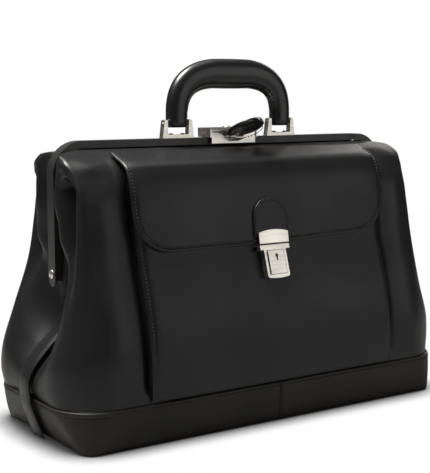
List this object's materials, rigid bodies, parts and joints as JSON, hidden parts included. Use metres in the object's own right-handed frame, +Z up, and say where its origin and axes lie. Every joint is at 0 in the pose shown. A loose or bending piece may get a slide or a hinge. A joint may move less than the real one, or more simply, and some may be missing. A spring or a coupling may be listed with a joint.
{
  "type": "doctor bag",
  "caption": "Soft leather doctor bag on a hinged steel frame, with a carrying handle, a hasp latch, a front pocket with a flap and tuck lock, and a stiff base.",
  "frame": {"origin": "centre of the base, on the floor", "axes": "+X along the bag to the right, +Y to the back, +Z up; the pocket and its lock are on -Y"},
  "size_m": [0.4574, 0.1878, 0.3636],
  "materials": {
    "leather": "smooth black calf leather with a soft sheen",
    "band_leather": "black leather with a slightly warm, duller face",
    "frame_steel": "black enamelled steel, satin",
    "nickel": "warm satin nickel plate",
    "core_steel": "plain steel",
    "lining_cloth": "dark woven cotton lining",
    "board": "pressed fibre board"
  },
  "bodies": {
    "root": {"base_band": "band_leather", "base_board": "board", "body_front": "leather", "body_back": "leather", "lining": "lining_cloth", "pocket_panel": "leather", "end_strap_left": "leather", "end_strap_right": "leather", "frame_front": "frame_steel", "hinge_rivet_left": "nickel", "hinge_rivet_right": "nickel", "handle_bracket_left": "nickel", "handle_bracket_right": "nickel", "handle_pin_left": "core_steel", "handle_pin_right": "core_steel", "latch_body": "nickel", "latch_cover": "nickel", "latch_hasp_pin": "nickel", "lock_case": "nickel", "lock_back_plate": "core_steel", "frame_rivet_1": "nickel", "frame_rivet_2": "nickel", "frame_rivet_3": "nickel", "frame_rivet_4": "nickel", "frame_rivet_5": "nickel", "frame_rivet_6": "nickel"},
    "back_jaw": {"frame_back": "frame_steel", "frame_keeper": "nickel"},
    "handle": {"handle_grip": "leather", "handle_core": "core_steel"},
    "hasp": {"latch_hasp": "nickel", "latch_pull_tab": "leather", "latch_pull_rivet": "nickel"},
    "flap": {"pocket_flap": "leather", "lock_tab": "leather", "lock_upper_plate": "nickel", "lock_tongue": "nickel"},
    "press_plate": {"lock_press_plate": "nickel"},
    "key_plug": {"lock_key_plug": "core_steel"}
  },
  "joints": [
    {"name": "frame_open", "type": "hinge", "parent": "root", "child": "back_jaw", "pos_m": [0, 0, 0.157], "axis": [-1, 0, 0], "range_deg": [0, 55]},
    {"name": "handle_swing", "type": "hinge", "parent": "root", "child": "handle", "pos_m": [0, -0.0035, 0.2985], "axis": [1, 0, 0], "range_deg": [-85, 60]},
    {"name": "hasp_lift", "type": "hinge", "parent": "root", "child": "hasp", "pos_m": [0, -0.0103, 0.291], "axis": [-1, 0, 0], "range_deg": [0, 60]},
    {"name": "flap_lift", "type": "hinge", "parent": "root", "child": "flap", "pos_m": [0, -0.024, 0.2735], "axis": [-1, 0, 0], "range_deg": [0, 55]},
    {"name": "press_in", "type": "slide", "parent": "root", "child": "press_plate", "axis": [0, 0.9538, -0.3004], "range_m": [0, 0.0015], "stiffness_N_per_m": 1500, "springref_m": -0.0006},
    {"name": "key_turn", "type": "hinge", "parent": "press_plate", "child": "key_plug", "pos_m": [0.001, -0.08694, 0.16844], "axis": [0, 0.9538, -0.3004], "range_deg": [0, 90]}
  ]
}
